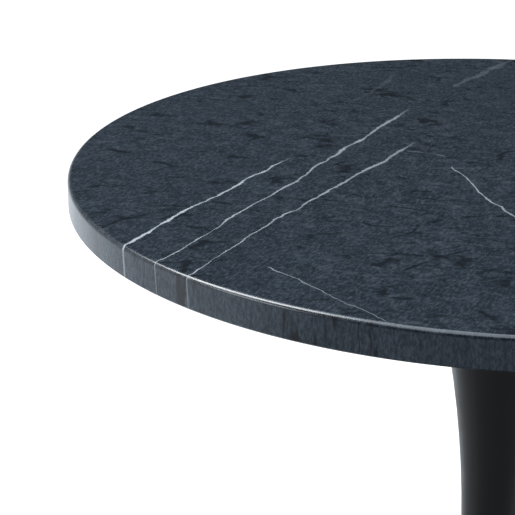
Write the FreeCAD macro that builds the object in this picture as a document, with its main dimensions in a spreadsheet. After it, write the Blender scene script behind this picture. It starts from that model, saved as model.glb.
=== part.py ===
import FreeCAD, Part
import math
import os

import Sketcher

# Round pedestal table, in millimetres: a honed marble disc on a hollow cast trumpet pedestal.
# The origin is on the floor, under the middle of the table, and +Z is up.
#
# From the top down: the marble disc has threaded bushes bonded into its underside. A steel
# mounting plate is screwed to them over a thin gasket. One long tie rod hangs from the hub under
# that plate, runs down through the pedestal and its inner web, and is tightened by a nut under
# the ballast weight, so that it clamps plate, pedestal and weight together. A flat cover closes
# the base. The table stands on a rubber ring in the rim, and four levelling glides inside the
# base can be screwed down past it.

DIMENSIONS = [
    # the marble disc
    ("table_height", 730),
    ("top_radius", 300),
    ("top_thickness", 20),
    ("edge_round", 3),
    ("edge_arris", 1),
    # how the disc is held
    ("bush_circle_radius", 110),
    ("bush_radius", 5),
    ("bush_length", 12),
    ("bush_thread_radius", 3),
    ("bond_gap", 0.1),
    ("gasket_thickness", 1.5),
    ("gasket_inner_radius", 40),
    ("plate_radius", 130),
    ("plate_thickness", 6),
    ("plate_chamfer", 1.5),
    ("plate_hole_radius", 3.4),
    ("plate_screw_count", 6),
    ("plate_screw_head_radius", 5.5),
    ("plate_screw_head_height", 3.5),
    ("plate_screw_length", 16),
    ("plate_screw_hex", 4),
    ("plate_screw_hex_depth", 2),
    ("screw_washer_radius", 6),
    ("screw_washer_thickness", 1),
    ("screw_washer_hole_radius", 3.2),
    ("hub_radius", 22),
    ("hub_length", 30),
    # the pedestal's outline: two arcs above the waist, two below it, then a shallow cone
    ("wall", 6),
    ("waist_radius", 22.8),
    ("waist_height", 433),
    ("upper_arc", 847),
    ("upper_angle", 12.3),
    ("flare_arc", 168),
    ("flare_angle", 46),
    ("lower_arc", 1110),
    ("lower_angle", 17.3),
    ("bell_arc", 120),
    ("bell_angle", 80),
    ("base_radius", 220),
    ("nose_round", 5),
    ("flange_round", 1),
    ("flange_opening_radius", 40),
    ("rim_bottom", 3),
    ("cavity_opening_radius", 198),
    ("web_bottom", 60),
    ("web_thickness", 8),
    ("web_radius", 90),
    # the tie rod and what it clamps
    ("rod_radius", 6),
    ("rod_bottom", 9),
    ("rod_top_inset", 2.5),
    ("rod_chamfer", 1),
    ("thread_gap", 0.02),
    ("rod_hole_radius", 7),
    ("nut_flats", 18),
    ("nut_height", 10),
    ("jam_nut_height", 7),
    ("ballast_radius", 118),
    ("ballast_shoulder_height", 28),
    ("ballast_top_radius", 84),
    ("ballast_bottom", 8),
    ("counterbore_radius", 24),
    ("counterbore_depth", 22),
    ("clamp_washer_radius", 18),
    ("clamp_washer_thickness", 4),
    ("spring_washer_radius", 10.5),
    ("spring_washer_thickness", 3),
    ("spring_washer_turn", 350),
    # the base cover and the foot ring
    ("cover_bottom", 4),
    ("cover_thickness", 2),
    ("cover_radius", 203.5),
    ("cover_recess_radius", 204),
    ("cover_screw_count", 4),
    ("cover_screw_circle_radius", 190),
    ("cover_screw_head_radius", 4),
    ("cover_screw_radius", 2),
    ("cover_screw_length", 6),
    ("cover_slot_width", 1.2),
    ("cover_slot_depth", 1),
    ("cover_boss_radius", 5),
    ("cover_boss_top", 12.5),
    ("ring_inner_radius", 208),
    ("ring_outer_radius", 216),
    ("ring_height", 6),
    ("ring_round", 1.5),
    ("ring_gap", 0.1),
    # the levelling glides
    ("glide_count", 4),
    ("glide_circle_radius", 150),
    ("glide_boss_radius", 9),
    ("glide_boss_bottom", 10.2),
    ("glide_boss_top", 21.8),
    ("glide_bush_radius", 6),
    ("glide_bush_top", 18),
    ("glide_stud_radius", 4),
    ("glide_stud_top", 17.5),
    ("glide_hex_bottom", 7.3),
    ("glide_hex_flats", 11),
    ("glide_hex_height", 2.4),
    ("glide_head_radius", 5),
    ("glide_head_bottom", 2.7),
    ("glide_head_top", 5.3),
    ("glide_pad_radius", 13),
    ("glide_pad_bottom", 0.5),
    ("glide_pad_top", 7),
    ("glide_pad_round", 1),
    ("glide_cover_hole_radius", 14),
    ("glide_play", 0.05),
    ("glide_end_play", 0.2),
]
FIRST_GLIDE_DEG = 45.0  # the cover screws stand in line with the glides
HEXAGON = 6
OUT_OF_THE_WAY = 1.0  # how far a cut runs past the face it opens


class Size:
    """A number together with the spreadsheet expression that gives it."""

    def __init__(self, value, text=None):
        self.value = float(value)
        self.text = text or repr(self.value)

    def __add__(self, other):
        other = as_size(other)
        return Size(self.value + other.value, f"({self.text} + {other.text})")

    def __sub__(self, other):
        other = as_size(other)
        return Size(self.value - other.value, f"({self.text} - {other.text})")

    def __mul__(self, other):
        other = as_size(other)
        return Size(self.value * other.value, f"({self.text} * {other.text})")

    def __truediv__(self, other):
        other = as_size(other)
        return Size(self.value / other.value, f"({self.text} / {other.text})")


def as_size(number):
    return number if isinstance(number, Size) else Size(number)


def sine(angle):
    return Size(math.sin(math.radians(angle.value)), f"sin({angle.text})")


def cosine(angle):
    return Size(math.cos(math.radians(angle.value)), f"cos({angle.text})")


def root(size):
    return Size(math.sqrt(size.value), f"sqrt({size.text})")


class Sheet:
    """The driving dimensions, by name: sheet.top_radius is a Size."""

    def __init__(self, doc):
        table = doc.addObject("Spreadsheet::Sheet", "Dims")
        for row, (name, number) in enumerate(DIMENSIONS, start=1):
            table.set(f"A{row}", name)
            table.set(f"B{row}", str(number))
            table.setAlias(f"B{row}", name)
            setattr(self, name, Size(number, f"Dims.{name}"))
        doc.recompute()


doc = FreeCAD.newDocument("pedestal_table")
d = Sheet(doc)

# Heights of the faces that the pieces share.
UNDERSIDE = d.table_height - d.top_thickness
PLATE_TOP = UNDERSIDE - d.gasket_thickness
PLATE_BOTTOM = PLATE_TOP - d.plate_thickness
HUB_BOTTOM = PLATE_BOTTOM - d.hub_length
WEB_TOP = d.web_bottom + d.web_thickness
COVER_TOP = d.cover_bottom + d.cover_thickness
COUNTERBORE_TOP = d.ballast_bottom + d.counterbore_depth
CLAMP_WASHER_BOTTOM = COUNTERBORE_TOP - d.clamp_washer_thickness
SPRING_WASHER_BOTTOM = CLAMP_WASHER_BOTTOM - d.spring_washer_thickness
NUT_BOTTOM = SPRING_WASHER_BOTTOM - d.nut_height
ZERO = Size(0)


# ---- sketches -------------------------------------------------------------------------------


def new_body(label):
    body = doc.addObject("PartDesign::Body", label)
    body.Label = label
    return body


def origin_feature(body, role):
    return next(f for f in body.Origin.OriginFeatures if f.Role == role)


def new_sketch(body, name, role="XZ_Plane", offset=None):
    """A sketch on one of the body's origin planes, raised along the plane's normal by offset."""
    sketch = body.newObject("Sketcher::SketchObject", f"{body.Label}_{name}")
    sketch.AttachmentSupport = [(origin_feature(body, role), "")]
    sketch.MapMode = "FlatFace"
    if offset is not None:
        sketch.setExpression("AttachmentOffset.Base.z", offset.text)
    return sketch


def bind(sketch, constraint, size):
    index = sketch.addConstraint(constraint)
    sketch.setExpression(f"Constraints[{index}]", size.text)


def pin(sketch, edge, point, x, y):
    """Holds one end of an edge at x, y."""
    if x.value == 0:
        sketch.addConstraint(Sketcher.Constraint("PointOnObject", edge, point, -2))
    else:
        bind(sketch, Sketcher.Constraint("DistanceX", -1, 1, edge, point, x.value), x)
    if y.value == 0:
        sketch.addConstraint(Sketcher.Constraint("PointOnObject", edge, point, -1))
    else:
        bind(sketch, Sketcher.Constraint("DistanceY", -1, 1, edge, point, y.value), y)


def vector(x, y):
    return FreeCAD.Vector(x.value, y.value, 0)


def add_edge(sketch, start, end, bend):
    """A line, or with bend = (centre, radius) the shorter arc, and the number of its end that is start."""
    if bend is None:
        return sketch.addGeometry(Part.LineSegment(start, end)), 1
    (cx, cy), radius = bend
    circle = Part.Circle(vector(cx, cy), FreeCAD.Vector(0, 0, 1), radius.value)
    from_angle = math.atan2(start.y - cy.value, start.x - cx.value)
    to_angle = math.atan2(end.y - cy.value, end.x - cx.value)
    anticlockwise = (to_angle - from_angle) % math.tau < math.pi
    if not anticlockwise:
        from_angle, to_angle = to_angle, from_angle
    edge = sketch.addGeometry(Part.ArcOfCircle(circle, from_angle, to_angle))
    return edge, 1 if anticlockwise else 2


def draw_outline(sketch, corners):
    """A closed outline. Each corner is (x, y), or (x, y, bend) where the edge that leaves it is an arc."""
    points = [vector(corner[0], corner[1]) for corner in corners]
    edges = []
    for i, corner in enumerate(corners):
        bend = corner[2] if len(corner) > 2 else None
        edge, first = add_edge(sketch, points[i], points[(i + 1) % len(points)], bend)
        edges.append((edge, first))
    for i, (edge, first) in enumerate(edges):
        following, its_first = edges[(i + 1) % len(edges)]
        meet = Sketcher.Constraint("Coincident", edge, 3 - first, following, its_first)
        sketch.addConstraint(meet)
        pin(sketch, edge, first, corners[i][0], corners[i][1])
        if len(corners[i]) > 2:
            radius = corners[i][2][1]
            bind(sketch, Sketcher.Constraint("Radius", edge, radius.value), radius)


def draw_circle(sketch, x, y, radius):
    circle = Part.Circle(vector(x, y), FreeCAD.Vector(0, 0, 1), radius.value)
    edge = sketch.addGeometry(circle)
    pin(sketch, edge, 3, x, y)
    bind(sketch, Sketcher.Constraint("Radius", edge, radius.value), radius)


def draw_hexagon(sketch, x, y, flats):
    """A hexagon of that width across its flats, with its middle at x, y."""
    across = flats / Size(2) / cosine(Size(30))
    corners = []
    for i in range(HEXAGON):
        angle = Size(60 * i)
        corners.append((x + across * cosine(angle), y + across * sine(angle)))
    draw_outline(sketch, corners)


def box_outline(inner, outer, bottom, top):
    return [(inner, bottom), (outer, bottom), (outer, top), (inner, top)]


# ---- features -------------------------------------------------------------------------------


def revolve(body, name, corners, cut=False, axis_at=None, angle=None):
    """Turns an outline about the body's Z axis, or about a vertical line at x = axis_at."""
    sketch = new_sketch(body, name)
    draw_outline(sketch, corners)
    axis = "V_Axis"
    if axis_at is not None:
        line = Part.LineSegment(vector(axis_at, ZERO), vector(axis_at, Size(1)))
        edge = sketch.addGeometry(line, True)
        pin(sketch, edge, 1, axis_at, ZERO)
        sketch.addConstraint(Sketcher.Constraint("Vertical", edge))
        sketch.addConstraint(Sketcher.Constraint("DistanceY", edge, 1, edge, 2, 1.0))
        axis = "Axis0"
    kind = "PartDesign::Groove" if cut else "PartDesign::Revolution"
    feature = body.newObject(kind, f"{body.Label}_{name}_turned")
    feature.Profile = sketch
    feature.ReferenceAxis = (sketch, [axis])
    feature.Angle = 360
    if angle is not None:
        feature.setExpression("Angle", angle.text)
    doc.recompute()
    return feature


def extrude(body, name, draw, bottom, height, cut=False):
    """Pads a sketch on a level plane upwards by height, or cuts it upwards out of the body."""
    sketch = new_sketch(body, name, "XY_Plane", bottom)
    draw(sketch)
    kind = "PartDesign::Pocket" if cut else "PartDesign::Pad"
    feature = body.newObject(kind, f"{body.Label}_{name}_straight")
    feature.Profile = sketch
    feature.setExpression("Length", height.text)
    feature.Reversed = cut
    before = body.Shape.Volume if cut else 0
    doc.recompute()
    if cut and not feature.Shape.Volume < before:
        raise ValueError(f"{feature.Name} cuts nothing")
    return feature


def repeat(body, name, features, count):
    """Repeats features evenly round the body's Z axis."""
    pattern = body.newObject("PartDesign::PolarPattern", f"{body.Label}_{name}_pattern")
    pattern.Originals = features
    pattern.Axis = (origin_feature(body, "Z_Axis"), [""])
    pattern.Angle = 360
    pattern.setExpression("Occurrences", count.text)
    body.Tip = pattern
    doc.recompute()
    return pattern


def drill_ring(body, name, circle_radius, hole_radius, bottom, height, count):
    """Cuts round holes, evenly spaced on a circle about the Z axis."""

    def draw(sketch):
        draw_circle(sketch, circle_radius, ZERO, hole_radius)

    hole = extrude(body, name, draw, bottom, height, cut=True)
    return repeat(body, name, [hole], count)


def round_edges(body, name, kind, size, places):
    """Fillets or chamfers the full circles at each (radius, height) in places."""
    base = body.Tip
    names = []
    for radius, height in places:
        for i, edge in enumerate(base.Shape.Edges, start=1):
            if not isinstance(edge.Curve, Part.Circle):
                continue
            same_radius = abs(edge.Curve.Radius - radius.value) < 0.01
            same_height = abs(edge.Curve.Center.z - height.value) < 0.01
            if same_radius and same_height:
                names.append(f"Edge{i}")
    if len(names) < len(places):
        raise ValueError(f"{body.Label} has no edge for {name}")
    feature = body.newObject(f"PartDesign::{kind}", f"{body.Label}_{name}")
    feature.Base = (base, names)
    feature.setExpression("Radius" if kind == "Fillet" else "Size", size.text)
    doc.recompute()
    return feature


def turn_about_z(body, degrees):
    body.Placement = FreeCAD.Placement(
        FreeCAD.Vector(0, 0, 0), FreeCAD.Rotation(FreeCAD.Vector(0, 0, 1), degrees)
    )


# ---- the top and its fixings ----------------------------------------------------------------


def make_marble_top():
    """The stone disc: rounded upper edge, small lower arris, blind holes for the bushes."""
    body = new_body("marble_top")
    revolve(body, "disc", box_outline(ZERO, d.top_radius, UNDERSIDE, d.table_height))
    upper_edge = (d.top_radius, d.table_height)
    lower_edge = (d.top_radius, UNDERSIDE)
    round_edges(body, "upper_edge", "Fillet", d.edge_round, [upper_edge])
    round_edges(body, "lower_edge", "Chamfer", d.edge_arris, [lower_edge])
    radius = d.bush_radius + d.bond_gap
    depth = d.bush_length + d.bond_gap
    drill_ring(
        body, "bush_holes", d.bush_circle_radius, radius, UNDERSIDE, depth, d.plate_screw_count
    )


def make_insert_bushes():
    """Threaded brass bushes, bonded into the marble's underside."""
    body = new_body("insert_bushes")
    centre = d.bush_circle_radius
    inner = centre + d.bush_thread_radius
    outer = centre + d.bush_radius
    outline = box_outline(inner, outer, UNDERSIDE, UNDERSIDE + d.bush_length)
    tube = revolve(body, "tube", outline, axis_at=centre)
    repeat(body, "ring", [tube], d.plate_screw_count)


def make_top_gasket():
    """A thin rubber disc between the stone and the steel plate."""
    body = new_body("top_gasket")
    revolve(body, "disc", box_outline(d.gasket_inner_radius, d.plate_radius, PLATE_TOP, UNDERSIDE))
    drill_ring(
        body,
        "screw_holes",
        d.bush_circle_radius,
        d.plate_hole_radius,
        PLATE_TOP,
        d.gasket_thickness,
        d.plate_screw_count,
    )


def make_mounting_plate():
    """The steel disc that carries the stone. Its screws stand outside the pedestal's flange."""
    body = new_body("mounting_plate")
    hole = d.rod_radius + d.thread_gap
    revolve(body, "disc", box_outline(hole, d.plate_radius, PLATE_BOTTOM, PLATE_TOP))
    lower_edge = (d.plate_radius, PLATE_BOTTOM)
    round_edges(body, "lower_edge", "Chamfer", d.plate_chamfer, [lower_edge])
    drill_ring(
        body,
        "screw_holes",
        d.bush_circle_radius,
        d.plate_hole_radius,
        PLATE_BOTTOM,
        d.plate_thickness,
        d.plate_screw_count,
    )


def make_plate_hub():
    """The threaded boss welded under the plate, which the tie rod hangs from."""
    body = new_body("plate_hub")
    hole = d.rod_radius + d.thread_gap
    revolve(body, "tube", box_outline(hole, d.hub_radius, HUB_BOTTOM, PLATE_BOTTOM))
    round_edges(body, "lower_edge", "Chamfer", d.plate_chamfer, [(d.hub_radius, HUB_BOTTOM)])


def make_screw_washers():
    body = new_body("screw_washers")
    centre = d.bush_circle_radius
    inner = centre + d.screw_washer_hole_radius
    outer = centre + d.screw_washer_radius
    bottom = PLATE_BOTTOM - d.screw_washer_thickness
    ring = revolve(body, "ring", box_outline(inner, outer, bottom, PLATE_BOTTOM), axis_at=centre)
    repeat(body, "circle", [ring], d.plate_screw_count)


def make_plate_screws():
    """Button-head screws with a hexagon socket, from below through the plate into the bushes."""
    body = new_body("plate_screws")
    centre = d.bush_circle_radius
    head_top = PLATE_BOTTOM - d.screw_washer_thickness
    head_bottom = head_top - d.plate_screw_head_height
    shank = centre + d.bush_thread_radius - d.thread_gap
    head = centre + d.plate_screw_head_radius
    crown = centre + d.plate_screw_head_radius * Size(0.6)
    shoulder = head_top - d.plate_screw_head_height * Size(0.4)
    outline = [
        (centre, head_bottom),
        (crown, head_bottom),
        (head, shoulder),
        (head, head_top),
        (shank, head_top),
        (shank, head_top + d.plate_screw_length),
        (centre, head_top + d.plate_screw_length),
    ]
    blank = revolve(body, "blank", outline, axis_at=centre)

    def draw(sketch):
        draw_hexagon(sketch, centre, Size(0), d.plate_screw_hex)

    socket = extrude(body, "socket", draw, head_bottom, d.plate_screw_hex_depth, cut=True)
    repeat(body, "circle", [blank, socket], d.plate_screw_count)


# ---- the pedestal ---------------------------------------------------------------------------


def arc_point(centre, radius, angle, above):
    """The point of an arc at an angle from level, on the side of its centre that faces the axis."""
    x = centre[0] - radius * cosine(angle)
    rise = radius * sine(angle)
    return (x, centre[1] + rise if above else centre[1] - rise)


class Trumpet:
    """The pedestal's curved outline, or with a depth the parallel outline inside the wall."""

    def __init__(self, depth, top=None):
        above, below = True, False
        upper_centre = (d.waist_radius + d.upper_arc, d.waist_height)
        upper_end = arc_point(upper_centre, d.upper_arc, d.upper_angle, above)
        flare_centre = (
            upper_end[0] + d.flare_arc * cosine(d.upper_angle),
            upper_end[1] - d.flare_arc * sine(d.upper_angle),
        )
        lower_centre = (d.waist_radius + d.lower_arc, d.waist_height)
        lower_end = arc_point(lower_centre, d.lower_arc, d.lower_angle, below)
        bell_centre = (
            lower_end[0] + d.bell_arc * cosine(d.lower_angle),
            lower_end[1] + d.bell_arc * sine(d.lower_angle),
        )
        self.flare = (flare_centre, d.flare_arc + depth)
        self.upper = (upper_centre, d.upper_arc + depth)
        self.lower = (lower_centre, d.lower_arc + depth)
        self.bell = (bell_centre, d.bell_arc + depth)
        self.flange = arc_point(*self.flare, d.flare_angle, above)
        if top is not None:
            self.flange = self.flare_at(top)
        self.neck = arc_point(*self.upper, d.upper_angle, above)
        self.waist = (d.waist_radius - depth, d.waist_height)
        self.hip = arc_point(*self.lower, d.lower_angle, below)
        self.skirt = arc_point(*self.bell, d.bell_angle, below)

    def flare_at(self, height):
        """The point of the flare at a height."""
        (x, y), radius = self.flare
        reach = root(radius * radius - (height - y) * (height - y))
        return (x - reach, height)

    def corners(self):
        """From the flange down to where the shallow cone begins."""
        return [
            (*self.flange, self.flare),
            (*self.neck, self.upper),
            (*self.waist, self.lower),
            (*self.hip, self.bell),
            self.skirt,
        ]

    def cone_height_at(self, radius):
        slope = cosine(d.bell_angle) / sine(d.bell_angle)
        return self.skirt[1] - (radius - self.skirt[0]) * slope


def pedestal_solid(body):
    outside = Trumpet(ZERO)
    cone_end = d.base_radius - d.nose_round * (Size(1) - cosine(d.bell_angle))
    cone_end_height = outside.cone_height_at(cone_end)
    nose_centre = (
        d.base_radius - d.nose_round,
        cone_end_height - d.nose_round * sine(d.bell_angle),
    )
    outline = [
        (ZERO, PLATE_BOTTOM),
        (outside.flange[0], PLATE_BOTTOM),
        *outside.corners(),
        (cone_end, cone_end_height, (nose_centre, d.nose_round)),
        (d.base_radius, nose_centre[1]),
        (d.base_radius, d.rim_bottom),
        (ZERO, d.rim_bottom),
    ]
    revolve(body, "outside", outline)
    return outside.flange[0]


def pedestal_cavity(body):
    """Hollows the pedestal, leaving a flange with a round opening at the top."""
    inside = Trumpet(d.wall, PLATE_BOTTOM - d.wall)
    past_top = PLATE_BOTTOM + OUT_OF_THE_WAY
    past_bottom = d.rim_bottom - OUT_OF_THE_WAY
    outline = [
        (ZERO, past_top),
        (d.flange_opening_radius, past_top),
        (d.flange_opening_radius, inside.flange[1]),
        *inside.corners(),
        (d.cavity_opening_radius, inside.cone_height_at(d.cavity_opening_radius)),
        (d.cavity_opening_radius, COVER_TOP),
        (d.cover_recess_radius, COVER_TOP),
        (d.cover_recess_radius, past_bottom),
        (ZERO, past_bottom),
    ]
    revolve(body, "cavity", outline, cut=True)


def pedestal_bosses(body):
    """Bosses inside the skirt for the glide bushes and the cover screws."""

    def draw_glide_boss(sketch):
        draw_circle(sketch, d.glide_circle_radius, ZERO, d.glide_boss_radius)

    def draw_cover_boss(sketch):
        draw_circle(sketch, d.cover_screw_circle_radius, ZERO, d.cover_boss_radius)

    height = d.glide_boss_top - d.glide_boss_bottom
    boss = extrude(body, "glide_boss", draw_glide_boss, d.glide_boss_bottom, height)
    repeat(body, "glide_boss", [boss], d.glide_count)
    height = d.cover_boss_top - COVER_TOP
    boss = extrude(body, "cover_boss", draw_cover_boss, COVER_TOP, height)
    repeat(body, "cover_boss", [boss], d.cover_screw_count)
    depth = d.glide_bush_top - d.glide_boss_bottom
    drill_ring(
        body,
        "glide_holes",
        d.glide_circle_radius,
        d.glide_bush_radius,
        d.glide_boss_bottom,
        depth,
        d.glide_count,
    )
    drill_ring(
        body,
        "cover_holes",
        d.cover_screw_circle_radius,
        d.cover_screw_radius,
        COVER_TOP,
        d.cover_screw_length,
        d.cover_screw_count,
    )


def make_pedestal_casting():
    """The hollow trumpet: outline, cavity, web for the tie rod, groove for the foot ring."""
    body = new_body("pedestal_casting")
    flange_radius = pedestal_solid(body)
    round_edges(body, "flange_edge", "Fillet", d.flange_round, [(flange_radius, PLATE_BOTTOM)])
    pedestal_cavity(body)
    revolve(body, "web", box_outline(d.rod_hole_radius, d.web_radius, d.web_bottom, WEB_TOP))
    groove = box_outline(d.ring_inner_radius, d.ring_outer_radius, ZERO, d.ring_height)
    revolve(body, "ring_groove", groove, cut=True)
    pedestal_bosses(body)
    turn_about_z(body, FIRST_GLIDE_DEG)


# ---- the tie rod and what it clamps -----------------------------------------------------------


def make_tie_rod():
    body = new_body("tie_rod")
    top = PLATE_TOP - d.rod_top_inset
    revolve(body, "bar", box_outline(ZERO, d.rod_radius, d.rod_bottom, top))
    ends = [(d.rod_radius, d.rod_bottom), (d.rod_radius, top)]
    round_edges(body, "ends", "Chamfer", d.rod_chamfer, ends)


def make_nut(label, bottom, height):
    body = new_body(label)

    def draw(sketch):
        draw_hexagon(sketch, ZERO, ZERO, d.nut_flats)
        draw_circle(sketch, ZERO, ZERO, d.rod_radius + d.thread_gap)

    extrude(body, "prism", draw, bottom, height)


def make_ballast_weight():
    """A cast-iron weight that fills the bell, pulled up against the pedestal's web."""
    body = new_body("ballast_weight")
    outline = [
        (d.rod_hole_radius, d.web_bottom),
        (d.rod_hole_radius, COUNTERBORE_TOP),
        (d.counterbore_radius, COUNTERBORE_TOP),
        (d.counterbore_radius, d.ballast_bottom),
        (d.ballast_radius, d.ballast_bottom),
        (d.ballast_radius, d.ballast_shoulder_height),
        (d.ballast_top_radius, d.web_bottom),
    ]
    revolve(body, "weight", outline)


def make_clamp_washer():
    body = new_body("clamp_washer")
    hole = d.rod_radius + d.bond_gap
    outline = box_outline(hole, d.clamp_washer_radius, CLAMP_WASHER_BOTTOM, COUNTERBORE_TOP)
    revolve(body, "ring", outline)


def make_spring_washer():
    """A split ring: its outline turns a little less than once round."""
    body = new_body("spring_washer")
    hole = d.rod_radius + d.bond_gap
    bottom, top = SPRING_WASHER_BOTTOM, CLAMP_WASHER_BOTTOM
    outline = box_outline(hole, d.spring_washer_radius, bottom, top)
    revolve(body, "ring", outline, angle=d.spring_washer_turn)


# ---- the underside of the base ------------------------------------------------------------------


def make_base_cover():
    """The flat disc that closes the base, with holes for its screws and for the glides."""
    body = new_body("base_cover")
    revolve(body, "disc", box_outline(ZERO, d.cover_radius, d.cover_bottom, COVER_TOP))
    drill_ring(
        body,
        "glide_holes",
        d.glide_circle_radius,
        d.glide_cover_hole_radius,
        d.cover_bottom,
        d.cover_thickness,
        d.glide_count,
    )
    centre = d.cover_screw_circle_radius
    sink = revolve(
        body,
        "countersink",
        [
            (centre, d.cover_bottom),
            (centre + d.cover_screw_head_radius, d.cover_bottom),
            (centre + d.cover_screw_radius, COVER_TOP),
            (centre, COVER_TOP),
        ],
        cut=True,
        axis_at=centre,
    )
    repeat(body, "countersinks", [sink], d.cover_screw_count)
    turn_about_z(body, FIRST_GLIDE_DEG)


def make_cover_screws():
    """Countersunk slotted screws, flush with the cover."""
    body = new_body("cover_screws")
    centre = d.cover_screw_circle_radius
    shank = centre + d.cover_screw_radius - d.glide_play
    tip = COVER_TOP + d.cover_screw_length - d.glide_end_play
    outline = [
        (centre, d.cover_bottom),
        (centre + d.cover_screw_head_radius, d.cover_bottom),
        (shank, COVER_TOP),
        (shank, tip),
        (centre, tip),
    ]
    blank = revolve(body, "blank", outline, axis_at=centre)

    def draw(sketch):
        half = d.cover_slot_width / Size(2)
        length = d.cover_screw_head_radius + Size(OUT_OF_THE_WAY)
        left, right = centre - half, centre + half
        low, high = ZERO - length, length
        draw_outline(sketch, [(left, low), (right, low), (right, high), (left, high)])

    slot = extrude(body, "slot", draw, d.cover_bottom, d.cover_slot_depth, cut=True)
    repeat(body, "circle", [blank, slot], d.cover_screw_count)
    turn_about_z(body, FIRST_GLIDE_DEG)


def make_foot_ring():
    """The rubber ring in the rim's groove. The table stands on it."""
    body = new_body("foot_ring")
    inner = d.ring_inner_radius + d.ring_gap
    outer = d.ring_outer_radius - d.ring_gap
    revolve(body, "ring", box_outline(inner, outer, ZERO, d.ring_height))
    round_edges(body, "foot_edges", "Fillet", d.ring_round, [(inner, ZERO), (outer, ZERO)])


def make_glide_bushes():
    """Threaded bushes in the pedestal's bosses, one for each levelling glide."""
    body = new_body("glide_bushes")
    centre = d.glide_circle_radius
    inner = centre + d.glide_stud_radius + d.glide_play
    outer = centre + d.glide_bush_radius
    outline = box_outline(inner, outer, d.glide_boss_bottom, d.glide_bush_top)
    tube = revolve(body, "tube", outline, axis_at=centre)
    repeat(body, "circle", [tube], d.glide_count)
    turn_about_z(body, FIRST_GLIDE_DEG)


def make_glide_pad(label, degrees):
    """The nylon foot. It is hollow for the stud's head, which turns in it."""
    body = new_body(label)
    centre = d.glide_circle_radius
    rim = centre + d.glide_pad_radius
    seat = centre + d.glide_head_radius + d.glide_play
    mouth = centre + d.glide_stud_radius + d.glide_play
    seat_bottom = d.glide_head_bottom - d.glide_end_play
    seat_top = d.glide_head_top + d.glide_end_play
    outline = [
        (centre, d.glide_pad_bottom),
        (rim - d.glide_pad_round, d.glide_pad_bottom),
        (rim, d.glide_pad_bottom + d.glide_pad_round),
        (rim, d.glide_pad_top - d.glide_pad_round),
        (rim - d.glide_pad_round, d.glide_pad_top),
        (mouth, d.glide_pad_top),
        (mouth, seat_top),
        (seat, seat_top),
        (seat, seat_bottom),
        (centre, seat_bottom),
    ]
    revolve(body, "foot", outline, axis_at=centre)
    turn_about_z(body, degrees)


def make_glide_stud(label, degrees):
    """The threaded stud: a head held in the foot, a hexagon for a spanner, and the thread."""
    body = new_body(label)
    centre = d.glide_circle_radius
    head = centre + d.glide_head_radius
    thread = centre + d.glide_stud_radius
    outline = [
        (centre, d.glide_head_bottom),
        (head, d.glide_head_bottom),
        (head, d.glide_head_top),
        (thread, d.glide_head_top),
        (thread, d.glide_stud_top),
        (centre, d.glide_stud_top),
    ]
    revolve(body, "bar", outline, axis_at=centre)

    def draw(sketch):
        draw_hexagon(sketch, centre, Size(0), d.glide_hex_flats)

    extrude(body, "hexagon", draw, d.glide_hex_bottom, d.glide_hex_height)
    turn_about_z(body, degrees)


def make_glides():
    count = int(d.glide_count.value)
    for i in range(count):
        degrees = FIRST_GLIDE_DEG + 360.0 * i / count
        make_glide_pad(f"glide_pad_{i + 1}", degrees)
        make_glide_stud(f"glide_stud_{i + 1}", degrees)


# ---- the whole table --------------------------------------------------------------------------


def make_table():
    make_marble_top()
    make_insert_bushes()
    make_top_gasket()
    make_mounting_plate()
    make_plate_hub()
    make_screw_washers()
    make_plate_screws()
    make_pedestal_casting()
    make_tie_rod()
    make_nut("hub_jam_nut", HUB_BOTTOM - d.jam_nut_height, d.jam_nut_height)
    make_ballast_weight()
    make_clamp_washer()
    make_spring_washer()
    make_nut("rod_nut", NUT_BOTTOM, d.nut_height)
    make_base_cover()
    make_cover_screws()
    make_foot_ring()
    make_glide_bushes()
    make_glides()
    doc.recompute()


def check_document():
    """Stops the run if any object failed or any sub-part has no valid shape."""
    for item in doc.Objects:
        if "Invalid" in item.State or "Error" in item.State:
            raise ValueError(f"{item.Name} failed: {item.State}")
    for body in doc.findObjects("PartDesign::Body"):
        if body.Shape.isNull() or not body.Shape.isValid() or not body.Shape.Solids:
            raise ValueError(f"{body.Label} has no valid solid")


def export_parts():
    os.makedirs("parts", exist_ok=True)
    for body in doc.findObjects("PartDesign::Body"):
        body.Shape.exportStep(f"parts/{body.Label}.step")
        print(body.Label, len(body.Shape.Solids), round(body.Shape.Volume / 1000, 2), "cm3")


make_table()
check_document()
export_parts()
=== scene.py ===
"""The looks of a round stone-topped pedestal table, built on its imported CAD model.

Lengths are in metres unless a comment says otherwise, and +Z is up.
"""

import math

import bmesh
import bpy
from mathutils import Euler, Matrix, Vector


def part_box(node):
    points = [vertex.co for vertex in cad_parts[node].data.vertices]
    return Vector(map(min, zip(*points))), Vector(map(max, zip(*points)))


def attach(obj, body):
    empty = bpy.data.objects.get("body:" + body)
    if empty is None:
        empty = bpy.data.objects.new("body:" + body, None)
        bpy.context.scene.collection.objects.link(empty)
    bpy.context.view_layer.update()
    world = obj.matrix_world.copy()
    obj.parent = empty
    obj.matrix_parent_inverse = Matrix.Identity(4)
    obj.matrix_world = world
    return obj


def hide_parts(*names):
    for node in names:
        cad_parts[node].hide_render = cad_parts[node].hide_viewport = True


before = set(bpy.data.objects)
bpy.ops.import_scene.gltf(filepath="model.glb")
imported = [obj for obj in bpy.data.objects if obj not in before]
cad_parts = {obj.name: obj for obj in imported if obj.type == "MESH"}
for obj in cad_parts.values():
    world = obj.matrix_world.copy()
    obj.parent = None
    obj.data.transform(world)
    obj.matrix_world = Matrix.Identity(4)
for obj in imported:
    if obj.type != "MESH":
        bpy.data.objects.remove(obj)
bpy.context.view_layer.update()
scene = bpy.context.scene

TOP_LOW, TOP_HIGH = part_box("marble_top")
RADIUS = max(TOP_HIGH.x, TOP_HIGH.y)
SURFACE = TOP_HIGH.z


# ---- a short way to write node trees --------------------------------------------------------


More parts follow.
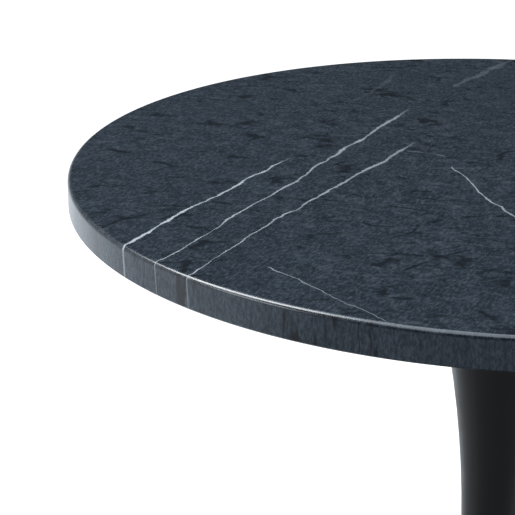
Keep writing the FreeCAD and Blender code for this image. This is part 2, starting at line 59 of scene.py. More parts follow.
class Graph:
    """Makes nodes in a tree. An input may be a number, a tuple or another node's output."""

    def __init__(self, tree):
        self.tree = tree
        tree.nodes.clear()

    def node(self, kind, inputs=(), **settings):
        made = self.tree.nodes.new(kind)
        for name, value in settings.items():
            setattr(made, name, value)
        for key, value in dict(inputs).items():
            self.plug(made.inputs[key], value)
        return made

    def plug(self, socket, value):
        if isinstance(value, bpy.types.NodeSocket):
            self.tree.links.new(value, socket)
        else:
            socket.default_value = value

    def math(self, operation, a, b=0.0, c=0.0):
        return self.node("ShaderNodeMath", {0: a, 1: b, 2: c}, operation=operation).outputs[0]

    def vector_math(self, operation, a, b=(0, 0, 0)):
        return self.node("ShaderNodeVectorMath", {0: a, 1: b}, operation=operation)

    def smooth(self, value, low, high, to_low=0.0, to_high=1.0):
        """to_low below low, to_high above high, and a smooth step between them."""
        inputs = {
            "Value": value,
            "From Min": low,
            "From Max": high,
            "To Min": to_low,
            "To Max": to_high,
        }
        made = self.node("ShaderNodeMapRange", inputs, interpolation_type="SMOOTHSTEP")
        return made.outputs["Result"]

    def noise(self, at, scale, detail=2.0, roughness=0.5, distortion=0.0, output="Fac"):
        inputs = {
            "Vector": at,
            "Scale": scale,
            "Detail": detail,
            "Roughness": roughness,
            "Distortion": distortion,
        }
        return self.node("ShaderNodeTexNoise", inputs).outputs[output]

    def cracks(self, at, scale):
        """The distance to the nearest wall between irregular cells."""
        inputs = {"Vector": at, "Scale": scale, "Detail": 1.0, "Roughness": 0.6}
        made = self.node("ShaderNodeTexVoronoi", inputs, feature="DISTANCE_TO_EDGE")
        return made.outputs["Distance"]

    def place(self, at, scale=(1, 1, 1), turn=(0, 0, 0), shift=(0, 0, 0), kind="POINT"):
        inputs = {"Vector": at, "Location": shift, "Rotation": turn, "Scale": scale}
        return self.node("ShaderNodeMapping", inputs, vector_type=kind).outputs["Vector"]

    def split(self, at):
        made = self.node("ShaderNodeSeparateXYZ", {0: at})
        return made.outputs["X"], made.outputs["Y"], made.outputs["Z"]

    def mix(self, share, a, b):
        """Colour a where share is 0, colour b where it is 1."""
        made = self.node("ShaderNodeMix", data_type="RGBA")
        for socket, value in ((made.inputs[0], share), (made.inputs[6], a), (made.inputs[7], b)):
            self.plug(socket, value)
        return made.outputs[2]

    def bump(self, height, distance, strength=1.0):
        inputs = {"Height": height, "Distance": distance, "Strength": strength}
        return self.node("ShaderNodeBump", inputs).outputs["Normal"]

    def join(self, kind, first, second, share=None):
        """A mix or a sum of two shaders' outputs."""
        made = self.node(kind)
        if share is not None:
            self.plug(made.inputs[0], share)
        self.tree.links.new(first, made.inputs[-2])
        self.tree.links.new(second, made.inputs[-1])
        return made.outputs[0]

    def finish(self, shader, kind="ShaderNodeOutputMaterial"):
        """Sends a shader's output to the tree's own output."""
        self.tree.links.new(shader, self.node(kind).inputs["Surface"])

    def surface(self, inputs):
        """The whole surface as one principled shader."""
        self.finish(self.node("ShaderNodeBsdfPrincipled", inputs).outputs["BSDF"])


def new_material(name):
    """A material, its graph, and each point's place in the CAD frame, fixed to its object."""
    material = bpy.data.materials.new(name)
    material.use_nodes = True
    graph = Graph(material.node_tree)
    return material, graph, graph.node("ShaderNodeTexCoord").outputs["Object"]


def colour(red, green, blue):
    return (red, green, blue, 1.0)


# ---- the slab's mesh ------------------------------------------------------------------------

EDGE_ROUND = 0.003  # the radius of the upper edge's round
EDGE_ARRIS = 0.001  # the lower edge's chamfer
EDGE_HOLD = 0.0008  # from the round to the loops that keep the flat faces' shading flat
ARRIS_HOLD = 0.002  # the same inward from the chamfer
ARRIS_TOP_HOLD = 0.0025  # the same above it, from the underside
UNDERSIDE_LOOP = 0.20
TOP_LOOPS = (0.22, 0.12, 0.04)
SEGMENTS = 720
ROUND_STEPS = 14
MOUNT_RADIUS = 0.130  # the bushes' blind holes lie within this radius
HOLE_CIRCLE = 0.110
HOLE_RADIUS = 0.0051
HOLE_DEPTH = 0.0121
HOLE_COUNT = 6
HOLE_SEGMENTS = 32
SHARP_DEG = 30
POLISHED_SLOT = 1
FLAT_WITHIN = 1e-6  # a face is part of the polished top if its corners are this near the surface


def ring(bm, radius, z, count, centre=(0, 0)):
    """A closed loop of vertices about a vertical line."""
    turns = [math.tau * i / count for i in range(count)]
    x, y = centre
    return [bm.verts.new((x + radius * math.cos(t), y + radius * math.sin(t), z)) for t in turns]


def bridge(bm, below, above):
    """Faces between two loops of the same count, which face outward where the lower one is first."""
    for i in range(len(below)):
        j = (i + 1) % len(below)
        bm.faces.new((below[i], below[j], above[j], above[i]))


def loop_edges(bm, loop):
    """The edges of a closed loop of vertices, made where they are missing."""
    pairs = [(loop[i - 1], loop[i]) for i in range(len(loop))]
    return [bm.edges.get(pair) or bm.edges.new(pair) for pair in pairs]


def slab_profile():
    """Radius and height from the underside, round the edge, to the top's flat face."""
    low, high = TOP_LOW.z, TOP_HIGH.z
    side = RADIUS - EDGE_ARRIS
    profile = [(MOUNT_RADIUS, low), (UNDERSIDE_LOOP, low), (side - ARRIS_HOLD, low), (side, low)]
    heights = (low + EDGE_ARRIS, low + ARRIS_TOP_HOLD, (low + high) / 2, high - EDGE_ROUND - EDGE_HOLD)
    profile += [(RADIUS, z) for z in heights]
    for i in range(ROUND_STEPS + 1):
        angle = math.pi / 2 * i / ROUND_STEPS
        inward = EDGE_ROUND * (1 - math.cos(angle))
        down = EDGE_ROUND * (1 - math.sin(angle))
        profile.append((RADIUS - inward, high - down))
    profile.append((RADIUS - EDGE_ROUND - EDGE_HOLD, high))
    return profile + [(radius, high) for radius in TOP_LOOPS]


def fill_underside(bm, rim):
    """The middle of the underside, with the blind holes that the bushes are bonded into."""
    edges = loop_edges(bm, rim)
    holes = []
    for i in range(HOLE_COUNT):
        turn = math.tau * i / HOLE_COUNT
        centre = (HOLE_CIRCLE * math.cos(turn), HOLE_CIRCLE * math.sin(turn))
        mouth = ring(bm, HOLE_RADIUS, TOP_LOW.z, HOLE_SEGMENTS, centre)
        blind_end = ring(bm, HOLE_RADIUS, TOP_LOW.z + HOLE_DEPTH, HOLE_SEGMENTS, centre)
        edges += loop_edges(bm, mouth)
        holes.append((mouth, blind_end))
    bmesh.ops.triangle_fill(bm, use_beauty=True, edges=edges)
    for mouth, blind_end in holes:
        bridge(bm, mouth, blind_end)
        bm.faces.new(blind_end)


def make_slab():
    """The stone disc with an evenly rounded edge, which stands for the CAD model's coarser mesh."""
    bm = bmesh.new()
    loops = [ring(bm, radius, z, SEGMENTS) for radius, z in slab_profile()]
    for below, above in zip(loops, loops[1:]):
        bridge(bm, below, above)
    bm.faces.new(loops[-1])
    fill_underside(bm, loops[0])
    bmesh.ops.recalc_face_normals(bm, faces=bm.faces)
    for face in bm.faces:
        if min(corner.co.z for corner in face.verts) > SURFACE - FLAT_WITHIN:
            face.material_index = POLISHED_SLOT
    mesh = bpy.data.meshes.new("stone_slab")
    bm.to_mesh(mesh)
    bm.free()
    mesh.shade_smooth()
    mesh.set_sharp_from_angle(angle=math.radians(SHARP_DEG))
    mesh.materials.append(marble("ground_marble", GROUND_IOR, ((VEINS, VEIN_WHITE),)))
    polished_lines = ((HAIRLINES, STONE_BLACK), (VEINS, VEIN_WHITE))
    mesh.materials.append(marble("polished_marble", POLISHED_IOR, polished_lines))
    slab = bpy.data.objects.new("stone_slab", mesh)
    scene.collection.objects.link(slab)
    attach(slab, "table")
    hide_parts("marble_top")


# ---- the stone ------------------------------------------------------------------------------

STONE_BLACK = (0.0030, 0.0044, 0.0066)
STONE_DARK = (0.0088, 0.0130, 0.0184)
STONE_MID = (0.0160, 0.0226, 0.0300)
STONE_PALE = (0.0370, 0.0445, 0.0530)
STONE_SPECK = (0.0420, 0.0495, 0.0585)
STONE_CLOUD = (0.0120, 0.0172, 0.0236)
GROUND_DARK = (0.0190, 0.0290, 0.0430)
GROUND_PALE = (0.0700, 0.0920, 0.1190)
VEIN_WHITE = (0.31, 0.33, 0.35)
GROUND_IOR = 1.52
POLISHED_IOR = 1.34

# Each white vein, in units of the top's radius, seen from above with the middle at 0, 0: where it
# starts, its heading in degrees from +X, its length, its widths and its strengths at its start and
# end, and how far its middle bows to the left.
VEINS = [
    # the family that runs from the front left towards the back, nearly parallel
    ((-0.755, -0.70), 69, 0.72, (0.0074, 0.0066), (1.0, 0.8), 0.003),
    ((-0.67, -0.78), 71.5, 1.29, (0.0034, 0.0105), (0.75, 0.55), -0.010),
    ((-0.595, -0.83), 69, 1.05, (0.0034, 0.0095), (0.75, 0.50), 0.007),
    ((-0.165, 0.655), 67, 0.40, (0.021, 0.024), (0.10, 0.10), 0.0),
    ((-0.42, 0.47), 74, 0.33, (0.016, 0.016), (0.04, 0.04), -0.016),
    ((0.19, -1.03), 70, 1.18, (0.0040, 0.0070), (0.80, 0.60), 0.006),
    ((0.43, -0.96), 67, 0.66, (0.0036, 0.0050), (0.60, 0.40), -0.008),
    ((0.30, 0.10), 71, 0.98, (0.0060, 0.0090), (0.80, 0.50), 0.010),
    ((0.66, -0.48), 69, 1.02, (0.0036, 0.0060), (0.55, 0.45), -0.006),
    # thin ones that cross the others
    ((-0.45, -0.74), -43, 0.35, (0.0028, 0.0018), (0.50, 0.45), 0.006),
    ((-0.245, 0.055), -20, 0.10, (0.0040, 0.0040), (0.22, 0.22), 0.004),
    ((-0.185, -0.07), 9, 0.12, (0.0040, 0.0040), (0.24, 0.18), 0.005),
    ((-0.135, -0.045), -65, 0.56, (0.0042, 0.0060), (0.65, 0.65), -0.010),
    ((0.05, 0.70), -38, 0.62, (0.0028, 0.0024), (0.38, 0.30), 0.008),
    ((0.46, -0.11), -52, 0.56, (0.0028, 0.0024), (0.42, 0.35), -0.010),
]
# The plainest dark hairlines and spots, in the same way.
HAIRLINES = [
    ((-0.825, -0.595), 46, 0.22, (0.009, 0.006), (0.9, 0.8), 0.014),
    ((-0.90, -0.285), 38, 0.15, (0.006, 0.006), (0.7, 0.7), -0.007),
    ((-0.415, -0.37), 0, 0.25, (0.006, 0.007), (0.9, 0.8), 0.024),
    ((-0.335, -0.66), 10, 0.16, (0.006, 0.006), (0.9, 0.8), 0.010),
    ((-0.215, -0.285), -3, 0.13, (0.006, 0.005), (0.8, 0.8), 0.0),
    ((-0.23, -0.54), 57, 0.09, (0.006, 0.005), (0.8, 0.8), -0.012),
    ((-0.19, -0.715), 48, 0.18, (0.009, 0.006), (1.0, 0.8), 0.005),
    ((-0.135, -0.59), 30, 0.05, (0.008, 0.008), (0.9, 0.8), 0.0),
    ((-0.075, -0.515), -16, 0.06, (0.009, 0.008), (1.0, 0.8), 0.006),
    ((-0.355, -0.895), 19, 0.05, (0.008, 0.007), (0.9, 0.8), 0.0),
    ((-0.745, -0.23), 18, 0.07, (0.018, 0.012), (0.7, 0.6), -0.006),
    ((-0.62, -0.375), -18, 0.05, (0.013, 0.012), (0.8, 0.7), 0.0),
    ((-0.15, -0.59), -76, 0.09, (0.026, 0.020), (0.6, 0.6), 0.0),
    ((-0.13, -0.93), -4, 0.06, (0.018, 0.012), (0.7, 0.7), 0.008),
]
VEIN_HEADING = 70  # degrees from +X, along which the stone's grain is drawn out
VEIN_LEAN = (0.067, -0.026)  # how far the veins' sheets shift in X and Y with height
WIDTH_TO_HALF = 0.62  # a vein's half width with its faded edge, for each unit of its width
SWAY = 0.040  # the range of the veins' broad wander, in units of the radius
WAVER = 0.014  # and of their fine one

# Broken threads: lines to a radius, a seed, their width and the noise level that they begin at.
DARK_THREADS = ((7.0, 3.0, 0.030, 0.53), (11.0, 9.0, 0.038, 0.55))
PALE_THREADS = (9.0, 21.0, 0.020, 0.55)

GROUND_STARTS = 0.0018  # the depths on the round between which polish gives way to ground stone
GROUND_IS_FULL = 0.0032
STONE_RELIEF = 0.00002

# Noise patterns: scale for a span of one radius, detail, roughness and, for some, distortion.
CLOUDS = (2.6, 4, 0.55, 0.3)
CLOTS = (40, 7, 0.74, 0.25)
GRAIN = (170, 4, 0.8)
STREAKS = (46, 5, 0.7)
CHALK = (190, 4, 0.8)
FLECKS = (8.5, 10, 0.72, 0.3)
BROAD_WANDER = (5.5, 2, 0.5)
FINE_WANDER = (26, 3, 0.6)
SWELL = (15, 3, 0.6)
# How fast a pattern changes with height, where it changes at 1 across the top.
SHEET_RISE = 0.18
GRAIN_RISE = 0.45
STREAK_RISE = 0.07
CHALK_RISE = 0.4
# How much a pattern is drawn out along X.
CLOT_DRAW = (0.8, 1.0, 1.0)
GRAIN_DRAW = (0.42, 1.0, 1.0)
FLECK_DRAW = (0.62, 1.0, 1.0)


def vein(graph, flat, wander, swell, start, heading, length, widths, strengths, bow):
    """How much of a point is vein, from 0 to 1."""
    along_and_across = graph.place(
        flat,
        scale=(length, 1, 1),
        turn=(0, 0, math.radians(heading)),
        shift=(*start, 0),
        kind="TEXTURE",
    )
    along, across, _ = graph.split(along_and_across)
    arch = graph.math("MULTIPLY", along, graph.math("SUBTRACT", 1.0, along))
    middle = graph.math("MULTIPLY_ADD", arch, 4 * bow, wander)
    away = graph.math("ABSOLUTE", graph.math("SUBTRACT", across, middle))
    plain_half = graph.smooth(along, 0.0, 1.0, WIDTH_TO_HALF * widths[0], WIDTH_TO_HALF * widths[1])
    half = graph.math("MULTIPLY", plain_half, graph.smooth(swell, 0.3, 0.7, 0.55, 1.25))
    inside = graph.smooth(away, graph.math("MULTIPLY", half, 0.3), half, 1.0, 0.0)
    strength = graph.smooth(along, 0.2, 1.0, *strengths)
    strength = graph.math("MULTIPLY", strength, graph.smooth(swell, 0.28, 0.66, 0.60, 1.0))
    shown = graph.math("MULTIPLY", inside, strength)
    shown = graph.math("MULTIPLY", shown, graph.smooth(along, 0.0, 0.03))
    return graph.math("MULTIPLY", shown, graph.smooth(along, 0.90, 1.0, 1.0, 0.0))


def threads(graph, sheet, per_radius, seed, width, limit):
    """Broken wavy lines that run along X."""
    _, y, _ = graph.split(sheet)
    warp = graph.noise(graph.place(sheet, shift=(seed, -seed, seed)), 3.2, 7, 0.62)
    value = graph.math("MULTIPLY_ADD", y, per_radius, graph.math("MULTIPLY", warp, 1.9))
    near = graph.math("PINGPONG", value, 0.5)
    gate = graph.noise(graph.place(sheet, scale=(0.5, 1.0, 1.0), shift=(-seed, seed, 0)), 6, 4, 0.62)
    half = graph.smooth(gate, limit, limit + 0.14, 0.2 * width, width)
    line = graph.smooth(near, graph.math("MULTIPLY", half, 0.25), half, 1.0, 0.0)
    return graph.math("MULTIPLY", line, graph.smooth(gate, limit, limit + 0.05))


def crazing(graph, sheet):
    """Patches of dark, branching hair cracks."""
    bend = graph.noise(sheet, 24.0, 4.0, output="Color")
    shift = graph.vector_math("MULTIPLY", bend, (0.06, 0.06, 0)).outputs[0]
    bent = graph.vector_math("ADD", sheet, shift).outputs[0]
    wall = graph.cracks(graph.place(bent, scale=FLECK_DRAW), 13)
    patch = graph.noise(graph.place(sheet, scale=(0.7, 1.0, 1.0), shift=(2, 5, 0)), 11, 4, 0.65)
    half = graph.smooth(patch, 0.50, 0.66, 0.02, 0.10)
    line = graph.smooth(wall, graph.math("MULTIPLY", half, 0.2), half, 1.0, 0.0)
    return graph.math("MULTIPLY", line, graph.smooth(patch, 0.52, 0.60, 0.0, 0.85))


def in_radii(graph, here, rise):
    """Places in units of the top's radius, with the height scaled down so that patterns stand tall."""
    unit = 1 / RADIUS
    return graph.place(here, scale=(unit, unit, rise * unit))


def vein_plane(graph, here):
    """Places on the veins' plane: along each leaning vein sheet the height makes no difference."""
    x, y, z = graph.split(here)
    depth = graph.math("SUBTRACT", z, SURFACE)
    leaning = {
        "X": graph.math("MULTIPLY_ADD", depth, VEIN_LEAN[0], x),
        "Y": graph.math("MULTIPLY_ADD", depth, VEIN_LEAN[1], y),
    }
    return in_radii(graph, graph.node("ShaderNodeCombineXYZ", leaning).outputs[0], 0)


def ground_stone(graph, here, stone):
    """The stone with its ground edge and sawn underside, paler than the polished face and streaked."""
    _, _, z = graph.split(here)
    streak = graph.noise(in_radii(graph, here, STREAK_RISE), *STREAKS)
    fine = graph.noise(in_radii(graph, here, CHALK_RISE), *CHALK)
    ground = graph.smooth(z, SURFACE - GROUND_IS_FULL, SURFACE - GROUND_STARTS, 1.0, 0.0)
    streaked = graph.math("MULTIPLY", ground, graph.smooth(streak, 0.40, 0.60, 0.62, 0.92))
    chalk = graph.mix(graph.smooth(fine, 0.38, 0.62), colour(*GROUND_DARK), colour(*GROUND_PALE))
    return graph.mix(streaked, stone, chalk)


def dark_marks(graph, sheet, stone):
    """The stone with near-black flecks, hair cracks and hairlines."""
    ragged = graph.noise(graph.place(sheet, scale=FLECK_DRAW, shift=(4, 7, 0)), *FLECKS)
    stone = graph.mix(graph.smooth(ragged, 0.61, 0.68, 0.0, 0.70), stone, colour(*STONE_BLACK))
    stone = graph.mix(crazing(graph, sheet), stone, colour(*STONE_BLACK))
    for group in DARK_THREADS:
        dark = graph.math("MULTIPLY", threads(graph, sheet, *group), 0.80)
        stone = graph.mix(dark, stone, colour(*STONE_BLACK))
    return stone


def draw_lines(graph, here, stone, lines):
    """The stone with each group of veins or hairlines in its tint."""
    flat = vein_plane(graph, here)
    sway = graph.math("MULTIPLY_ADD", graph.noise(flat, *BROAD_WANDER), SWAY, -SWAY / 2)
    waver = graph.math("MULTIPLY_ADD", graph.noise(flat, *FINE_WANDER), WAVER, -WAVER / 2)
    wander = graph.math("ADD", waver, sway)
    swell = graph.noise(flat, *SWELL)
    for group, tint in lines:
        shown = 0.0
        for one in group:
            shown = graph.math("MAXIMUM", shown, vein(graph, flat, wander, swell, *one))
        stone = graph.mix(shown, stone, colour(*tint))
    return stone


def marble(name, ior, lines):
    """Dark blue-grey marble. Its pattern runs down through the slab, as the edge shows."""
    material, graph, here = new_material(name)
    sheet = in_radii(graph, here, SHEET_RISE)
    # large soft clouds, clots of a few millimetres and a fine grain drawn out along the veins
    clouds = graph.noise(sheet, *CLOUDS)
    clots = graph.noise(graph.place(sheet, scale=CLOT_DRAW), *CLOTS)
    turned = graph.place(in_radii(graph, here, GRAIN_RISE), turn=(0, 0, math.radians(-VEIN_HEADING)))
    grain = graph.noise(graph.place(turned, scale=GRAIN_DRAW), *GRAIN)
    stone = graph.mix(graph.smooth(clots, 0.41, 0.56), colour(*STONE_DARK), colour(*STONE_MID))
    stone = graph.mix(graph.smooth(clots, 0.52, 0.66, 0.0, 0.80), stone, colour(*STONE_PALE))
    stone = graph.mix(graph.smooth(clouds, 0.38, 0.60, 0.0, 0.40), stone, colour(*STONE_CLOUD))
    stone = graph.mix(graph.smooth(grain, 0.50, 0.63, 0.0, 0.66), stone, colour(*STONE_SPECK))
    stone = graph.mix(graph.smooth(grain, 0.37, 0.50, 0.52, 0.0), stone, colour(*STONE_BLACK))
    stone = ground_stone(graph, here, stone)
    stone = dark_marks(graph, sheet, stone)
    pale = graph.math("MULTIPLY", threads(graph, sheet, *PALE_THREADS), 0.07)
    stone = graph.mix(pale, stone, colour(*VEIN_WHITE))
    stone = draw_lines(graph, here, stone, lines)
    relief = graph.math("ADD", clots, graph.math("MULTIPLY", grain, 0.4))
    graph.surface(
        {
            "Base Color": stone,
            "Roughness": graph.smooth(clots, 0.3, 0.7, 0.22, 0.27),
            "Normal": graph.bump(relief, STONE_RELIEF, 0.4),
            "IOR": ior,
        }
    )
    return material


# ---- the other materials --------------------------------------------------------------------

COATING_IOR = 1.5
LACQUER_IOR = 1.38
M8_PITCH = 0.00125
M12_PITCH = 0.00175
THREAD_SLOPE = 0.6  # how steeply a thread's flanks rise along its axis
ZINC_DARK, ZINC_LIGHT = colour(0.50, 0.51, 0.50), colour(0.66, 0.67, 0.66)
THREAD_DARK, THREAD_LIGHT = colour(0.46, 0.47, 0.46), colour(0.64, 0.65, 0.64)
BRASS_DARK, BRASS_LIGHT = colour(0.56, 0.38, 0.15), colour(0.72, 0.53, 0.24)
GLIDES = (1, 2, 3, 4)


def lacquer():
    """Black satin lacquer on the casting, with the faint unevenness of a sprayed coat."""
    material, graph, here = new_material("satin_black_lacquer")
    cast = graph.noise(here, 38, 3, 0.5)
    spray = graph.noise(here, 900, 2, 0.5)
    dark, light = colour(0.0120, 0.0124, 0.0134), colour(0.0152, 0.0157, 0.0168)
    graph.surface(
        {
            "Base Color": graph.mix(cast, dark, light),
            "Roughness": graph.smooth(cast, 0.3, 0.7, 0.34, 0.42),
            "Normal": graph.bump(graph.math("ADD", spray, cast), 0.00003, 0.5),
            "IOR": LACQUER_IOR,
        }
    )
    return material


def powder_coat():
    """Black powder coat: fine orange peel."""
    material, graph, here = new_material("black_powder_coat")
    peel = graph.noise(here, 620, 3, 0.55)
    tone = graph.noise(here, 22, 3, 0.5)
    dark, light = colour(0.014, 0.015, 0.017), colour(0.026, 0.027, 0.030)
    graph.surface(
        {
            "Base Color": graph.mix(tone, dark, light),
            "Roughness": graph.smooth(peel, 0.3, 0.7, 0.42, 0.55),
            "Normal": graph.bump(peel, 0.00012, 0.7),
            "IOR": COATING_IOR,
        }
    )
    return material


def rubber(name, dark, light):
    """Matt rubber or nylon with a little dust in its fine skin."""
    material, graph, here = new_material(name)
    dust = graph.noise(here, 60, 6, 0.6)
    skin = graph.noise(here, 1400, 2, 0.5)
    graph.surface(
        {
            "Base Color": graph.mix(graph.smooth(dust, 0.4, 0.75), dark, light),
            "Roughness": graph.smooth(dust, 0.3, 0.7, 0.68, 0.82),
            "Normal": graph.bump(skin, 0.00005, 0.6),
            "IOR": COATING_IOR,
        }
    )
    return material


def metal(name, dark, light, rough, pitch=None):
    """Bare or plated metal with fine wear. A pitch adds the grooves of an upright thread."""
    material, graph, here = new_material(name)
    tone = graph.noise(here, 90, 4, 0.6)
    wear = graph.noise(here, 700, 4, 0.6)
    relief = graph.math("MULTIPLY", wear, 0.00004)
    if pitch is not None:
        _, _, z = graph.split(here)
        turns = graph.math("FRACT", graph.math("DIVIDE", z, pitch))
        flank = graph.math("PINGPONG", turns, 0.5)
        relief = graph.math("MULTIPLY_ADD", flank, THREAD_SLOPE * pitch, relief)
    graph.surface(
        {
            "Base Color": graph.mix(tone, dark, light),
            "Metallic": 1.0,
            "Roughness": graph.smooth(wear, 0.3, 0.7, rough - 0.06, rough + 0.06),
            "Normal": graph.bump(relief, 1.0, 0.7),
        }
    )
    return material


def raw_iron():
    """Sand-cast iron, left bare and a little rusty."""
    material, graph, here = new_material("sand_cast_iron")
    sand = graph.noise(here, 420, 5, 0.65)
    rust = graph.smooth(graph.noise(here, 28, 5, 0.6), 0.52, 0.70)
    iron = graph.mix(sand, colour(0.045, 0.044, 0.044), colour(0.095, 0.092, 0.090))
    graph.surface(
        {
            "Base Color": graph.mix(rust, iron, colour(0.110, 0.050, 0.026)),
            "Metallic": graph.smooth(rust, 0.0, 1.0, 0.55, 0.05),
            "Roughness": graph.smooth(sand, 0.3, 0.7, 0.55, 0.75),
            "Normal": graph.bump(sand, 0.0004, 0.8),
        }
    )
    return material


def paint_nodes():
    """Gives every CAD node but the stone its material. The stone has its own mesh."""
    zinc = metal("zinc_plate", ZINC_DARK, ZINC_LIGHT, 0.33)
    m8_thread = metal("zinc_thread", THREAD_DARK, THREAD_LIGHT, 0.34, M8_PITCH)
    m12_thread = metal("zinc_rod", THREAD_DARK, THREAD_LIGHT, 0.36, M12_PITCH)
    brass = metal("brass", BRASS_DARK, BRASS_LIGHT, 0.30)
    powder = powder_coat()
    black_rubber = rubber("black_rubber", colour(0.012, 0.012, 0.013), colour(0.045, 0.045, 0.046))
    nylon = rubber("black_nylon", colour(0.016, 0.016, 0.017), colour(0.034, 0.034, 0.035))
    looks = {
        "insert_bushes": brass,
        "top_gasket": black_rubber,
        "mounting_plate": powder,
        "plate_hub": powder,
        "screw_washers": zinc,
        "plate_screws": zinc,
        "pedestal_casting": lacquer(),
        "tie_rod": m12_thread,
        "hub_jam_nut": zinc,
        "ballast_weight": raw_iron(),
        "clamp_washer": zinc,
        "spring_washer": zinc,
        "rod_nut": zinc,
        "base_cover": powder,
        "cover_screws": zinc,
        "foot_ring": black_rubber,
        "glide_bushes": brass,
    }
    for i in GLIDES:
        looks[f"glide_pad_{i}"] = nylon
        looks[f"glide_stud_{i}"] = m8_thread
    for name, look in looks.items():
        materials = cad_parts[name].data.materials
        materials.clear()
        materials.append(look)


# ---- camera and lights ----------------------------------------------------------------------

CAMERA_BACK = 3.584  # this and the next one are in units of the top's radius
CAMERA_ABOVE = 1.099
CAMERA_DOWN_DEG = 20.56
CAMERA_LEFT_DEG = 9.26
LENS_MM = 114.6
SENSOR_MM = 36.0
CLIP_NEAR = 0.05
CLIP_FAR = 100

COOL = (0.80, 0.89, 1.0)
NEUTRAL = (0.93, 0.97, 1.0)
FRONT_LEFT = (-0.15, -0.26, 0)  # a place on the surface, from its middle
# Each softbox: its place and the place it faces, both from the middle of the surface, then its
# size, radiance and tint.
SOFTBOXES = {
    "top_softbox": ((-0.17, 0.10, 1.7), (-0.17, 0.10, 0), (1.15, 3.1), 3.9, COOL),
    "left_softbox": ((-1.32, 0.21, 1.80), FRONT_LEFT, (1.05, 1.15), 18.5, NEUTRAL),
    "low_softbox": ((-1.78, -1.03, 0.95), FRONT_LEFT, (0.9, 0.6), 5.4, NEUTRAL),
}

# What the table mirrors of the studio besides the softboxes: a level above the horizon, below it
# one in front and one behind, and lobes with azimuth, elevation, half width and radiance.
ROOM_ABOVE = 0.045
ROOM_BELOW_FRONT = 0.34
ROOM_BELOW_BACK = 0.50
ROOM_LOBES = (
    (-172, 4, 48, 0.84),
    (126, -22, 38, 0.85),
    (150, 22, 29, 0.35),
    (10, -5, 60, 0.35),
)
ROOM_TINT = (0.88, 0.94, 1.0)
FRONT_TO_BACK = (-0.6, 0.4)  # Y of the directions between which the lower level changes
HORIZON = (-0.20, 0.10)  # Z of the directions between which the levels meet
BACKDROP = 1.05


def make_camera():
    """The photo's point of view, in front of the table and above it."""
    data = bpy.data.cameras.new("camera")
    data.sensor_width = SENSOR_MM
    data.lens = LENS_MM
    data.clip_start = CLIP_NEAR
    data.clip_end = CLIP_FAR
    camera = bpy.data.objects.new("camera", data)
    camera.location = (0, -CAMERA_BACK * RADIUS, SURFACE + CAMERA_ABOVE * RADIUS)
    tilt = math.radians(90 - CAMERA_DOWN_DEG)
    camera.rotation_euler = Euler((tilt, 0, math.radians(CAMERA_LEFT_DEG)))
    scene.collection.objects.link(camera)
    scene.camera = camera


def direction(azimuth, elevation):
    """The unit vector at an azimuth from +X and an elevation above the horizon, in degrees."""
    a, e = math.radians(azimuth), math.radians(elevation)
    return (math.cos(a) * math.cos(e), math.sin(a) * math.cos(e), math.sin(e))


def softbox(name, place, target, size, radiance, tint):
    """A rectangular light at a place that faces a target."""
    data = bpy.data.lights.new(name, "AREA")
    data.shape = "RECTANGLE"
    data.size, data.size_y = size
    data.energy = radiance * math.pi * size[0] * size[1]
    data.color = tint
    lamp = bpy.data.objects.new(name, data)
    lamp.location = Vector(place) + Vector((0, 0, SURFACE))
    lamp.rotation_euler = (Vector(place) - Vector(target)).to_track_quat("Z", "Y").to_euler()
    scene.collection.objects.link(lamp)


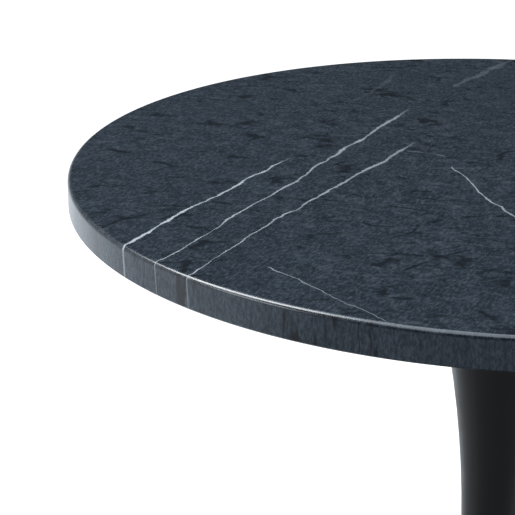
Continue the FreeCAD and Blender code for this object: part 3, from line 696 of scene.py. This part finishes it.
def make_world():
    """A white backdrop to the camera. What lights and shows in the table is a plain soft studio."""
    world = bpy.data.worlds.new("studio")
    scene.world = world
    world.use_nodes = True
    graph = Graph(world.node_tree)
    towards = graph.node("ShaderNodeTexCoord").outputs["Generated"]
    _, depth, height = graph.split(towards)
    below = graph.smooth(depth, *FRONT_TO_BACK, ROOM_BELOW_FRONT, ROOM_BELOW_BACK)
    level = graph.smooth(height, *HORIZON, below, ROOM_ABOVE)
    for azimuth, elevation, half_width, radiance in ROOM_LOBES:
        facing = graph.vector_math("DOT_PRODUCT", towards, direction(azimuth, elevation))
        edge = math.cos(math.radians(half_width))
        lobe = graph.smooth(facing.outputs["Value"], edge, 1.0, 0.0, radiance)
        level = graph.math("ADD", level, lobe)
    room = {"Color": colour(*ROOM_TINT), "Strength": level}
    white = {"Color": colour(1, 1, 1), "Strength": BACKDROP}
    shown = graph.join(
        "ShaderNodeMixShader",
        graph.node("ShaderNodeBackground", room).outputs[0],
        graph.node("ShaderNodeBackground", white).outputs[0],
        graph.node("ShaderNodeLightPath").outputs["Is Camera Ray"],
    )
    graph.finish(shown, "ShaderNodeOutputWorld")


# ---- the floor ------------------------------------------------------------------------------

FLOOR_RADIUS = 30.0
FLOOR_CORNERS = 96
FLOOR_GREY = 0.30
GLOW_UNDER_TABLE = 0.66
GLOW_AWAY = 1.02
GLOW_FROM = 0.40  # the distances from the table's axis between which the glow changes
GLOW_TO = 0.80


def paint_floor():
    """White with a glow that lifts it to the backdrop's level, and clear when seen from below."""
    material, graph, here = new_material("white_floor")
    painted = {"Color": colour(FLOOR_GREY, FLOOR_GREY, FLOOR_GREY)}
    away = graph.vector_math("LENGTH", here).outputs["Value"]
    bright = graph.smooth(away, GLOW_FROM, GLOW_TO, GLOW_UNDER_TABLE, GLOW_AWAY)
    glow = {"Color": colour(1, 1, 1), "Strength": bright}
    lit = graph.join(
        "ShaderNodeAddShader",
        graph.node("ShaderNodeBsdfDiffuse", painted).outputs[0],
        graph.node("ShaderNodeEmission", glow).outputs[0],
    )
    clear = graph.node("ShaderNodeBsdfTransparent").outputs[0]
    behind = graph.node("ShaderNodeNewGeometry").outputs["Backfacing"]
    graph.finish(graph.join("ShaderNodeMixShader", lit, clear, behind))
    return material


def make_floor():
    """A plain white floor that takes soft shadows."""
    turns = [math.tau * i / FLOOR_CORNERS for i in range(FLOOR_CORNERS)]
    rim = [(FLOOR_RADIUS * math.cos(t), FLOOR_RADIUS * math.sin(t), 0) for t in turns]
    mesh = bpy.data.meshes.new("floor")
    mesh.from_pydata(rim, [], [list(range(FLOOR_CORNERS))])
    mesh.materials.append(paint_floor())
    floor = bpy.data.objects.new("floor", mesh)
    scene.collection.objects.link(floor)
    floor.visible_diffuse = False
    floor.visible_glossy = False
    floor.visible_shadow = False


# ---- the whole ------------------------------------------------------------------------------

make_camera()
make_world()
for name, settings in SOFTBOXES.items():
    softbox(name, *settings)
make_floor()
paint_nodes()
make_slab()
scene.view_settings.view_transform = "Standard"
scene.view_settings.look = "None"
